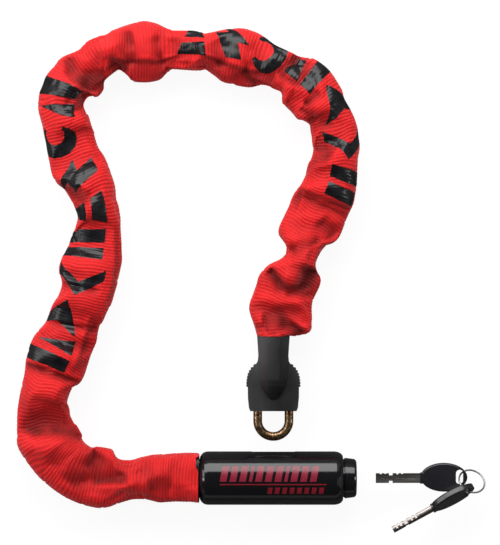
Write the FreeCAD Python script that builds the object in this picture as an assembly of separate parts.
import FreeCAD, Part
import math, os

# Chain lock: cylindrical disc-detainer body, 24 chain links in a sleeve, moulded boot, end link
# and two keys on a ring. Millimetres. The lock axis lies along X with the keyhole at +X,
# the chain loop lies in the XY plane on the +Y side of the body, and +Z is up.

V = FreeCAD.Vector
os.makedirs("parts", exist_ok=True)

# ---- driving dimensions ----
WIRE = 7.0                  # chain wire, rounded square
WIRE_CORNER_R = 1.5
PITCH = 33.458
EYE = 10.5                  # inner width of a chain link
SLACK = 1.3
INNER_HALF = (PITCH + SLACK) / 2        # inner half length of a link
HALF_FLAT = INNER_HALF - 4.8            # link centre to pivot, flat links
HALF_UPRIGHT = INNER_HALF + WIRE / 2    # link centre to pivot, upright links
# heading of each link in degrees; the links are flat and upright in turn
HEADINGS = [
    -182.95, -173.67, -191.69, -227.66, -263.76, -290.80, -296.38, -286.72,
    -273.80, -251.30, -246.17, -282.27, -318.34, -354.28, -363.07, -368.09,
    -379.90, -405.28, -434.41, -463.58, -475.04, -470.45, -474.53, -450.00]

ANCHOR_X = -44.0            # anchor pin axis
ANCHOR_PIN_R = 4.0
PIN_FIT = 0.03              # radial clearance round the pins in the body
RETAINING_PIN_X, RETAINING_PIN_R = 36.0, 2.0
DRIVE_PIN_X, DRIVE_PIN_R, DRIVE_PIN_FIT = 20.6, 1.0, 0.05

JACKET_R, JACKET_X0, JACKET_X1 = 19.2, -53.3, 50.1
STEEL_R, STEEL_X0, STEEL_X1 = 17.2, -51.3, 46.0
BORE_R, BORE_X0 = 14.4, -6.5
BARREL_X0, BARREL_X1 = 25.5, 48.7

KEY_R, KEY_HALF_T = 3.55, 1.5


# ---- helpers ----
def save(name, shape):
    shape.exportStep("parts/%s.step" % name)


def cyl_x(r, x0, x1, y=0.0, z=0.0):
    return Part.makeCylinder(r, x1 - x0, V(x0, y, z), V(1, 0, 0))


def cyl_z(r, x, y, z0, z1):
    return Part.makeCylinder(r, z1 - z0, V(x, y, z0), V(0, 0, 1))


def box(x0, x1, y0, y1, z0, z1):
    return Part.makeBox(x1 - x0, y1 - y0, z1 - z0, V(x0, y0, z0))


def face_xy(points, z=0.0):
    return Part.Face(Part.makePolygon([V(x, y, z) for x, y in points + points[:1]]))


def prism_z(points, z0, z1):
    return face_xy(points, z0).extrude(V(0, 0, z1 - z0))


def revolve_x(points):
    """Solid of revolution about X from (x, radius) points."""
    return face_xy(points).revolve(V(0, 0, 0), V(1, 0, 0), 360)


def edge_arc(x, r, size_x, size_r, degrees):
    """(x, radius) points on an ellipse about (x, r); 0 degrees is furthest from the axis."""
    return [(x + size_x * math.sin(math.radians(a)), r + size_r * math.cos(math.radians(a)))
            for a in degrees]


def rounded_rect(x, half_y, half_z, r, y=0.0):
    """Closed wire in the plane X = x, centred on (y, 0)."""
    inset = r * (1 - math.sqrt(0.5))
    ends, mids = [], []
    for sy, sz in ((1, 1), (1, -1), (-1, -1), (-1, 1)):
        pair = [V(x, y + sy * (half_y - r), sz * half_z),
                V(x, y + sy * half_y, sz * (half_z - r))]
        ends += pair if sy == sz else pair[::-1]
        mids.append(V(x, y + sy * (half_y - inset), sz * (half_z - inset)))
    edges = []
    for i in range(4):
        start, end = ends[2 * i], ends[2 * i + 1]
        edges.append(Part.Arc(start, mids[i], end).toShape())
        edges.append(Part.makeLine(end, ends[(2 * i + 2) % 8]))
    return Part.Wire(edges)


def loft_rects(stations, ruled):
    """Loft through rounded rectangles (x, half y, half z, corner radius)."""
    return Part.makeLoft([rounded_rect(*s) for s in stations], True, ruled)


def oval_link(half_straight, end_r, section):
    """Closed link about the origin in XY; section(x, y) is the wire's face in the plane X = x."""
    legs = [section(-half_straight, sy * end_r).extrude(V(2 * half_straight, 0, 0))
            for sy in (1, -1)]
    ends = [section(sx * half_straight, end_r).revolve(
        V(sx * half_straight, 0, 0), V(0, 0, -sx), 180) for sx in (1, -1)]
    return legs[0].fuse([legs[1]] + ends).removeSplitter()


def placed(shape, x, y, heading, roll=0.0):
    s = shape.copy()
    if roll:
        s.rotate(V(0, 0, 0), V(1, 0, 0), roll)
    s.rotate(V(0, 0, 0), V(0, 0, 1), heading)
    s.translate(V(x, y, 0))
    return s


# ---- chain ----
def chain_link(wire=WIRE):
    """The centre line is the same for any wire size, so a thicker link is a clearance tool."""
    def section(x, y):
        return Part.Face(rounded_rect(x, wire / 2, wire / 2, WIRE_CORNER_R, y))
    return oval_link(INNER_HALF - EYE / 2, EYE / 2 + WIRE / 2, section)


pivots = [(ANCHOR_X, 0.0)]
for i, heading in enumerate(HEADINGS):
    length = 2 * (HALF_UPRIGHT if i % 2 else HALF_FLAT)
    x, y = pivots[-1]
    a = math.radians(heading)
    pivots.append((x + length * math.cos(a), y + length * math.sin(a)))
centres = [((p[0] + q[0]) / 2, (p[1] + q[1]) / 2) for p, q in zip(pivots, pivots[1:])]

link = chain_link()
for i, (centre, heading) in enumerate(zip(centres, HEADINGS)):
    save("chain_link_%02d" % (i + 1), placed(link, *centre, heading, 90.0 if i % 2 else 0.0))

# ---- sleeve: one open tube round each flat link ----
SLEEVE_OVERHANG = 8.0       # past the link's pivots
SLEEVE_WALL = 1.1
SLEEVE_OUTER_CORNER, SLEEVE_INNER_CORNER = 6.0, 4.6
# fraction of the length, half width, half height
SLEEVE_LONG = [(0, 16.3, 14.3), (0.22, 17.4, 15.3), (0.5, 18.0, 15.8),
               (0.78, 17.5, 15.2), (1, 16.3, 14.3)]
SLEEVE_SHORT = [(0, 16.3, 14.3), (0.5, 17.0, 14.9), (1, 16.3, 14.3)]


def sleeve(x0, x1, profile):
    """Rounded tube that swells in the middle."""
    def tube(corner, wall=0.0, extra=0.0):
        # extra lengthens the tube at both ends
        shift = {0: -extra, 1: extra}
        return loft_rects([(x0 + f * (x1 - x0) + shift.get(f, 0.0), w - wall, h - wall, corner)
                           for f, w, h in profile], False)
    return tube(SLEEVE_OUTER_CORNER).cut(tube(SLEEVE_INNER_CORNER, SLEEVE_WALL, 0.01))


for k in range(12):
    x0, x1 = -HALF_FLAT - SLEEVE_OVERHANG, HALF_FLAT + SLEEVE_OVERHANG
    if k == 0:              # starts clear of the lock body
        x0 = -HALF_FLAT + 18.0
    if k == 11:             # stops short at the boot
        x1 = HALF_FLAT
    tube = sleeve(x0, x1, SLEEVE_LONG if k else SLEEVE_SHORT)
    save("sleeve_%02d" % (k + 1), placed(tube, *centres[2 * k], HEADINGS[2 * k]))

# ---- end link ----
END_W, END_WIRE = 28.8, 6.3     # outer width, round wire diameter
END_BOTTOM = 26.8               # lowest Y of the link
END_TOP = pivots[-1][1] + WIRE / 2 + 0.6 + END_WIRE     # 0.6 gap to the last chain link
BOOT_FIT = 0.12                 # clearance round the links inside the boot


def end_link(fit=0.0):
    def section(x, y):
        circle = Part.makeCircle(END_WIRE / 2 + fit, V(x, y, 0), V(1, 0, 0))
        return Part.Face(Part.Wire(circle))
    half_straight = (END_TOP - END_BOTTOM) / 2 - END_W / 2
    shape = oval_link(half_straight, END_W / 2 - END_WIRE / 2, section)
    return placed(shape, 0.0, (END_TOP + END_BOTTOM) / 2, 90.0)


save("end_link", end_link())

# ---- rubber boot ----
BOOT_HALF_T = 7.3
BOOT_TOP = 102.2
RIBS_TOP, RIBS_BOTTOM = 82.0, 65.6
RIB_HALF_W = [14.3, 16.2, 17.5, 18.4, 18.9, 19.2, 19.4, 19.4]   # top to bottom
# (x, y) outline of the +X side above and below the ribs
NECK = [(11.7, BOOT_TOP), (11.2, 95.0), (10.8, 88.0), (11.2, 84.0), (12.4, RIBS_TOP)]
SKIRT = [(18.4, RIBS_BOTTOM - 0.6), (18.3, 58.0), (17.6, 51.0), (16.6, 48.5)]
# octagons along the middle: y, half width, half height, half width of the top flat
SPINE = [(BOOT_TOP, 11.2, 14.2, 4.6), (84.0, 10.6, 14.6, 4.4), (71.0, 9.6, 14.5, 4.2)]
NOSE = [SPINE[-1], (66.5, 8.8, 13.7, 4.0), (62.5, 7.4, 12.0, 3.5), (59.0, 5.4, 9.6, 2.6),
        (56.0, 3.0, 7.0, 1.4)]


def octagon(y, w, h, flat):
    side = h * 0.55
    points = [(-flat, h), (flat, h), (w, side), (w, -side),
              (flat, -h), (-flat, -h), (-w, -side), (-w, side), (-flat, h)]
    return Part.makePolygon([V(x, y, z) for x, z in points])


def rubber_boot():
    ribs = []
    step = (RIBS_TOP - RIBS_BOTTOM) / len(RIB_HALF_W)
    for n, w in enumerate(RIB_HALF_W):
        y = RIBS_TOP - n * step
        ribs += [(w, y - 0.25 * step), (w + 0.1, y - 0.72 * step), (w - 1.2, y - 0.94 * step)]
    side = NECK + ribs + SKIRT
    flat = prism_z(side + [(-x, y) for x, y in reversed(side)], -BOOT_HALF_T, BOOT_HALF_T)
    boot = flat.fuse([Part.makeLoft([octagon(*s) for s in table], True, True)
                      for table in (SPINE, NOSE)])
    last_link = placed(chain_link(WIRE + 2 * BOOT_FIT), *centres[-1], 90.0, 90.0)
    boot = boot.cut(end_link(BOOT_FIT)).cut(last_link)
    boot = boot.cut(box(-5.1, 5.1, BOOT_TOP - 1.0, 103.0, -5.0, 5.0))
    # the cuts can leave loose pieces inside the link eyes
    return max(boot.Solids, key=lambda s: s.Volume)


save("rubber_boot", rubber_boot())

# ---- lock body ----
PORT_HALF_X, PORT_HALF_Z, PORT_FLOOR = 15.0, 3.7, 1.4
POCKET_R, POCKET_HALF_Z, POCKET_MOUTH_X = 13.1, 3.9, -60.0


def port_tool(grow=0.0):
    """Round-bottomed port for the end link, open towards +Y."""
    hx, hz = PORT_HALF_X + grow, PORT_HALF_Z + grow
    y = PORT_FLOOR + hx
    return box(-hx, hx, y, 25.0, -hz, hz).fuse(cyl_z(hx, 0, y, -hz, hz))


def pocket_tool(grow_z=0.0, grow_y=0.0):
    """Pocket round the anchor pin, flaring towards -X."""
    h = POCKET_HALF_Z + grow_z
    flare = math.radians(12.6)
    y_near = 12.25 / math.cos(flare) + grow_y + 0.4
    y_far = y_near + abs(POCKET_MOUTH_X - ANCHOR_X) * math.tan(flare)
    x_near = ANCHOR_X + 1.5
    mouth = prism_z([(x_near, y_near), (POCKET_MOUTH_X, y_far),
                     (POCKET_MOUTH_X, -y_far), (x_near, -y_near)], -h, h)
    return cyl_z(POCKET_R, ANCHOR_X, 0, -h, h).fuse(mouth)


def steel_blank(gap=0.0, bevel=2.6):
    """Steel cylinder, bevelled at -X; a gap makes it the jacket's cavity."""
    x0, x1, r = STEEL_X0 - gap, STEEL_X1 + gap, STEEL_R + gap
    return revolve_x([(x0, 0), (x0, STEEL_R - bevel), (STEEL_X0 + bevel, r), (x1, r), (x1, 0)])


def retaining_pin_hole(z_top):
    return cyl_z(RETAINING_PIN_R + PIN_FIT, RETAINING_PIN_X, 0, -20.0, z_top)


def lock_housing():
    steel = steel_blank()
    steel = steel.cut(cyl_x(BORE_R, BORE_X0, STEEL_X1 + 1))
    steel = steel.cut(port_tool())
    steel = steel.cut(pocket_tool())
    steel = steel.cut(cyl_z(ANCHOR_PIN_R + PIN_FIT, ANCHOR_X, 0, -20.0, 14.6))
    return steel.cut(retaining_pin_hole(-11.0))


def anchor_pin():
    pin = cyl_z(ANCHOR_PIN_R, ANCHOR_X, 0, -16.2, 14.5)
    rim = 2 * math.pi * ANCHOR_PIN_R
    return pin.makeChamfer(0.5, [e for e in pin.Edges if e.Closed and abs(e.Length - rim) < 0.01])


def housing_jacket():
    jacket = revolve_x(
        [(JACKET_X0, 0), (JACKET_X0, 12.6)]
        + edge_arc(JACKET_X0 + 6.0, 12.6, -6.0, 6.6, (78, 65, 50, 35, 20, 0))
        + [(43.6, JACKET_R)]
        + edge_arc(43.6, 15.2, 6.5, 4.0, (15, 30, 45, 60, 75, 90))
        + [(JACKET_X1, 0)])
    jacket = jacket.cut(steel_blank(gap=0.05, bevel=2.58))
    jacket = jacket.cut(cyl_x(BORE_R, STEEL_X1, JACKET_X1 + 1))
    jacket = jacket.cut(port_tool(0.5))
    return jacket.cut(pocket_tool(0.3, 0.2))


def sleeve_collar():
    """Cuff at the -X end of the body, round the pocket mouth."""
    outer = loft_rects([(-57.6, 16.6, 11.6, 8.0), (-56.2, 17.2, 12.2, 8.6),
                        (-53.35, 16.9, 12.0, 8.4)], True)
    inner = loft_rects([(-57.7, 15.6, 9.6, 6.6), (-53.3, 14.9, 9.6, 6.6)], True)
    return outer.cut(inner)


save("lock_housing", lock_housing())
save("anchor_pin", anchor_pin())
save("housing_jacket", housing_jacket())
save("sleeve_collar", sleeve_collar())

# ---- cylinder ----
CORE_R, CORE_INNER_R = 7.6, 5.7
CORE_X0, CORE_X1 = 25.7, 47.45
DISC_R, DISC_T, SPACER_R, SPACER_T, DISC_GAP, DISC_COUNT = 5.6, 1.25, 4.75, 0.45, 0.05, 9
DISC_STEP = DISC_T + SPACER_T + 2 * DISC_GAP
PACK_X0 = 30.2              # disc pack
PACK_X1 = PACK_X0 + (DISC_COUNT - 1) * DISC_STEP + DISC_T
PLATE_X0 = PACK_X1 + 0.08
NOTCH_HALF = 1.15           # half width of the sidebar slot and disc notches
SPRING_X = 28.95            # spring at the -X end of the sidebar


def drive_pin_hole(half_length):
    return cyl_z(DRIVE_PIN_R + DRIVE_PIN_FIT, DRIVE_PIN_X, 0, -half_length, half_length)


def key_section(x0, x1, extra=0.0):
    """Round bar with two flats, as the key blade's section."""
    half_t = KEY_HALF_T + extra
    return cyl_x(KEY_R + extra, x0, x1).common(box(x0 - 1, x1 + 1, -9, 9, -half_t, half_t))


def cylinder_barrel():
    barrel = cyl_x(BORE_R - 0.05, BARREL_X0, BARREL_X1)
    barrel = barrel.cut(cyl_x(CORE_R + 0.08, BARREL_X0 - 1, BARREL_X1 + 1))
    barrel = barrel.cut(cyl_x(9.0, 47.55, BARREL_X1 + 0.05))
    barrel = barrel.cut(box(30.0, 46.6, -1.2, 1.2, 7.0, 8.8))
    return barrel.cut(retaining_pin_hole(-11.2))


def disc_core():
    core = cyl_x(CORE_R, CORE_X0, CORE_X1)
    core = core.cut(cyl_x(CORE_INNER_R, PACK_X0 - 0.1, CORE_X1 + 1))
    core = core.cut(cyl_x(KEY_R + 0.3, 28.0, 31.0))
    core = core.cut(box(28.6, 47.0, -NOTCH_HALF, NOTCH_HALF, 5.2, 9.0))
    core = core.cut(cyl_z(0.95, SPRING_X, 0, 3.9, 6.0))
    tang = box(18.0, CORE_X0 + 0.1, -3.2, 3.2, -1.9, 1.9)
    return core.fuse(tang).cut(drive_pin_hole(3))


def detainer_disc(n):
    x0 = PACK_X0 + n * DISC_STEP
    x1 = x0 + DISC_T
    disc = cyl_x(DISC_R, x0, x1).cut(key_section(x0, x1, 0.12))
    disc = disc.cut(box(x0 - 1, x1 + 1, -NOTCH_HALF, NOTCH_HALF, 4.85, 6.5))
    # false notch, different on each disc
    notch = box(x0 - 1, x1 + 1, -0.5, 0.5, 5.1, 6.5)
    notch.rotate(V(0, 0, 0), V(1, 0, 0), 55.0 + 23.0 * ((n * 5) % 9))
    return disc.cut(notch)


def spacer_disc(n):
    x = PACK_X0 + n * DISC_STEP + DISC_T + DISC_GAP
    return cyl_x(SPACER_R, x, x + SPACER_T).cut(cyl_x(KEY_R + 0.2, x - 1, x + 2))


def core_front_plate():
    """Keyhole plate at the +X end of the core."""
    x1 = CORE_X1 - 0.05
    plate = cyl_x(CORE_INNER_R - 0.05, PLATE_X0, x1).cut(key_section(PLATE_X0, x1, 0.15))
    return plate.cut(box(PLATE_X0 - 1, 60, -1.2, 1.2, 3.95, 7))


def sidebar():
    bar = box(28.8, 46.7, -1.0, 1.0, 4.95, 7.35)
    bar = bar.cut(box(28.0, 30.1, -2, 2, 4.0, 5.45))
    return bar.cut(box(45.9, 47.0, -2, 2, 4.0, 5.35))


def spring(x, z0, height, r, wire_r):
    """Upright coil of 2.5 turns."""
    helix = Part.makeHelix(height / 2.5, height, r)
    section = Part.Wire(Part.makeCircle(wire_r, V(r, 0, 0), V(0, 1, 0)))
    coil = Part.Wire(helix).makePipeShell([section], True, False)
    coil.translate(V(x, 0, z0))
    return coil


def core_retaining_ring():
    ring = cyl_x(8.85, 47.65, 48.6).cut(cyl_x(6.3, 47, 49.5))
    return ring.cut(box(47, 49.5, -2.0, 2.0, -10, -4))


save("cylinder_barrel", cylinder_barrel())
save("barrel_retaining_pin", cyl_z(RETAINING_PIN_R, RETAINING_PIN_X, 0, -16.9, -11.4))
save("disc_core", disc_core())
save("detainer_discs", Part.makeCompound([detainer_disc(n) for n in range(DISC_COUNT)]))
save("spacer_discs", Part.makeCompound([spacer_disc(n) for n in range(DISC_COUNT - 1)]))
save("core_front_plate", core_front_plate())
save("sidebar", sidebar())
save("sidebar_springs", Part.makeCompound([
    spring(SPRING_X, 4.1, height=1.1, r=0.55, wire_r=0.16),
    spring(46.68, 4.12, height=1.0, r=0.5, wire_r=0.12)]))
save("core_retaining_ring", core_retaining_ring())

# ---- locking drum ----
CLAW_INNER_R, CLAW_OUTER_R, CLAW_HALF = 10.6, 14.2, 4.8


def claw_sector(x0, x1, a0, a1):
    """Part of a tube about X between two angles from +Y towards +Z, in degrees."""
    tube = cyl_x(CLAW_OUTER_R, x0, x1).cut(cyl_x(CLAW_INNER_R, x0 - 1, x1 + 1))
    n = max(2, int((a1 - a0) / 20))
    reach = CLAW_OUTER_R * 1.6
    apex = V(x0 - 1, 0, 0)
    angles = [math.radians(a0 + (a1 - a0) * i / n) for i in range(n + 1)]
    rim = [V(x0 - 1, reach * math.cos(a), reach * math.sin(a)) for a in angles]
    wedge = Part.Face(Part.makePolygon([apex] + rim + [apex])).extrude(V(x1 - x0 + 2, 0, 0))
    return tube.common(wedge)


def locking_drum():
    claw = claw_sector(-CLAW_HALF, CLAW_HALF + 0.1, -150, -62)
    arm = claw_sector(CLAW_HALF, 15.4, -150, -113)
    hub = cyl_x(CLAW_OUTER_R, 15.3, 24.6).cut(box(17.6, 25.5, -3.35, 3.35, -2.05, 2.05))
    return hub.fuse([arm, claw]).cut(drive_pin_hole(16)).removeSplitter()


save("locking_drum", locking_drum())
save("drive_pin", cyl_z(DRIVE_PIN_R, DRIVE_PIN_X, 0, -13.2, 13.2))

# ---- knob and shutter ----
KNOB_X0, KNOB_X1 = BARREL_X1 + 0.1, 59.8
SHUTTER_PIVOT_Z = -6.5
SHUTTER_ANGLE = math.radians(74.0)      # swing from +Z towards +Y
SHUTTER_X0, SHUTTER_X1 = 58.2, 59.5
SHUTTER_LOBE_R, SHUTTER_ARM_HALF = 3.95, 2.6


def knob_cap():
    knob = revolve_x([(KNOB_X0, 0), (KNOB_X0, 13.7), (50.9, 13.7), (51.4, 14.6)]
                     + edge_arc(57.2, 11.3, 2.6, 2.6, (0, 20, 40, 60, 80, 90))
                     + [(KNOB_X1, 0)])
    knob = knob.cut(cyl_x(KEY_R + 0.3, 40, 70))
    knob = knob.cut(cyl_x(11.9, 58.0, 61.0))
    return knob.cut(cyl_x(1.35, 54.0, 59.0, 0, SHUTTER_PIVOT_Z))


def dust_cover():
    """Shutter swung aside from the keyhole: lobe, arm and pivot stud."""
    x0, x1 = SHUTTER_X0, SHUTTER_X1
    sine, cosine = math.sin(SHUTTER_ANGLE), math.cos(SHUTTER_ANGLE)
    pivot = V(x0, 0, SHUTTER_PIVOT_Z)
    lobe = pivot + V(0, sine, cosine) * abs(SHUTTER_PIVOT_Z)
    side = V(0, -cosine, sine) * SHUTTER_ARM_HALF
    corners = [pivot + side, lobe + side, lobe - side, pivot - side, pivot + side]
    web = Part.Face(Part.makePolygon(corners)).extrude(V(x1 - x0, 0, 0))
    shutter = cyl_x(SHUTTER_LOBE_R, x0, x1, lobe.y, lobe.z).fuse([
        cyl_x(SHUTTER_ARM_HALF, x0, x1, 0, pivot.z),
        web,
        cyl_x(1.2, 54.5, x0 + 0.1, 0, pivot.z)])
    return shutter.removeSplitter()


save("knob_cap", knob_cap())
save("dust_cover", dust_cover())

# ---- key 1: along X, tip towards -X, flat in XY ----
KEY_TIP = 73.8
BOW_X, BOW_Y = 122.8, 0.6
BOW_HALF_L, BOW_HALF_W, BOW_HALF_T = 16.8, 10.3, 2.6
BOW_X0 = BOW_X - BOW_HALF_L
BLADE_X1 = BOW_X - 6.0
KEY_HOLE_X, KEY_HOLE_Y, KEY_HOLE_R, KEY_HOLE_HALF = 134.0, 0.9, 2.7, 2.5
KEY_BITES = [(76.6, 2.75), (79.9, 2.95), (88.6, 2.6), (92.0, 2.9)]     # x, floor y
BITE_W = 1.5


def key_blade():
    blade = key_section(KEY_TIP, BLADE_X1)
    for y0, y1 in ((1.9, 9), (-9, -1.9)):           # neck on both edges
        blade = blade.cut(box(83.2, 85.9, y0, y1, -5, 5))
    for x, floor in KEY_BITES:
        blade = blade.cut(box(x, x + BITE_W, floor, 9, -5, 5))
    groove_z = KEY_HALF_T - 0.45
    for z0, z1 in ((groove_z, 5), (-5, -groove_z)):     # groove in both faces
        blade = blade.cut(box(KEY_TIP - 1, 104.0, -0.55, 0.55, z0, z1))
    return blade


def key_bow():
    """Oval bow with a slotted hole, thinner round the hole."""
    oval = Part.Face(Part.Wire(Part.Ellipse(V(BOW_X, BOW_Y, 0), BOW_HALF_L, BOW_HALF_W).toShape()))
    oval.translate(V(0, 0, -BOW_HALF_T))
    bow = oval.extrude(V(0, 0, 2 * BOW_HALF_T))
    try:
        bow = bow.makeFillet(1.3, [e for e in bow.Edges if e.Length > 30])
    except Exception:
        pass    # guards the fillet on the elliptical rims: the bow stays sharp if it fails
    collar = cyl_x(4.1, BOW_X0 - 0.3, BOW_X0 + 3.0)
    bow = bow.fuse(collar.common(box(90, 130, -9, 9, -BOW_HALF_T, BOW_HALF_T)))
    x, r = KEY_HOLE_X, KEY_HOLE_R
    y0, y1 = KEY_HOLE_Y - KEY_HOLE_HALF, KEY_HOLE_Y + KEY_HOLE_HALF
    hole = cyl_z(r, x, y1, -5, 5).fuse([cyl_z(r, x, y0, -5, 5), box(x - r, x + r, y0, y1, -5, 5)])
    bow = bow.cut(hole)
    for z0, z1 in ((1.7, 5.0), (-5.0, -1.7)):
        bow = bow.cut(box(x - 0.5, x + 9, -12, 12, z0, z1))
    return bow.cut(key_section(BOW_X0 - 2, BLADE_X1 + 0.1, 0.05))


blade, bow = key_blade(), key_bow()
save("key_1_blade", blade)
save("key_1_bow", bow)

# ---- key ring: starts in the hole of key 1, in a tilted plane ----
RING_R, RING_WIRE_R = 9.5, 0.62
RING_TURN, RING_TILT = math.radians(-20.0), math.radians(39.0)
# two axes at right angles in the ring's plane
ring_u = V(math.cos(RING_TURN), math.sin(RING_TURN), 0)
ring_w = V(-math.sin(RING_TURN) * math.cos(RING_TILT),
           math.cos(RING_TURN) * math.cos(RING_TILT), -math.sin(RING_TILT))
ring_centre = V(KEY_HOLE_X, KEY_HOLE_Y, 0) + ring_u * RING_R
ring_normal = ring_u.cross(ring_w).normalize()
save("key_ring", Part.makeTorus(RING_R, RING_WIRE_R, ring_centre, ring_normal))

# ---- key 2: further round the ring, leaning over ----
KEY_2_ROUND_RING = math.radians(66.0)
KEY_2_HEADING = math.radians(28.5)      # tip to bow
KEY_2_LEAN = math.radians(156.0)


def key_2_placement():
    along = V(math.cos(KEY_2_HEADING), math.sin(KEY_2_HEADING), 0.0)
    across = V(-along.y, along.x, 0)
    normal = (across * math.cos(KEY_2_LEAN) + V(0, 0, 1) * math.sin(KEY_2_LEAN)).normalize()
    side = normal.cross(along).normalize()
    frame = FreeCAD.Matrix(along.x, side.x, normal.x, 0,
                           along.y, side.y, normal.y, 0,
                           along.z, side.z, normal.z, 0,
                           0, 0, 0, 1)
    on_ring = (ring_centre - ring_u * (RING_R * math.cos(KEY_2_ROUND_RING))
               - ring_w * (RING_R * math.sin(KEY_2_ROUND_RING)))
    offset = on_ring - frame.multiply(V(KEY_HOLE_X - 1.2, KEY_HOLE_Y, -1.2))
    frame.A14, frame.A24, frame.A34 = offset.x, offset.y, offset.z
    return FreeCAD.Placement(frame)


for name, shape in (("key_2_blade", blade), ("key_2_bow", bow)):
    second = shape.copy()
    second.Placement = key_2_placement().multiply(second.Placement)
    save(name, second)
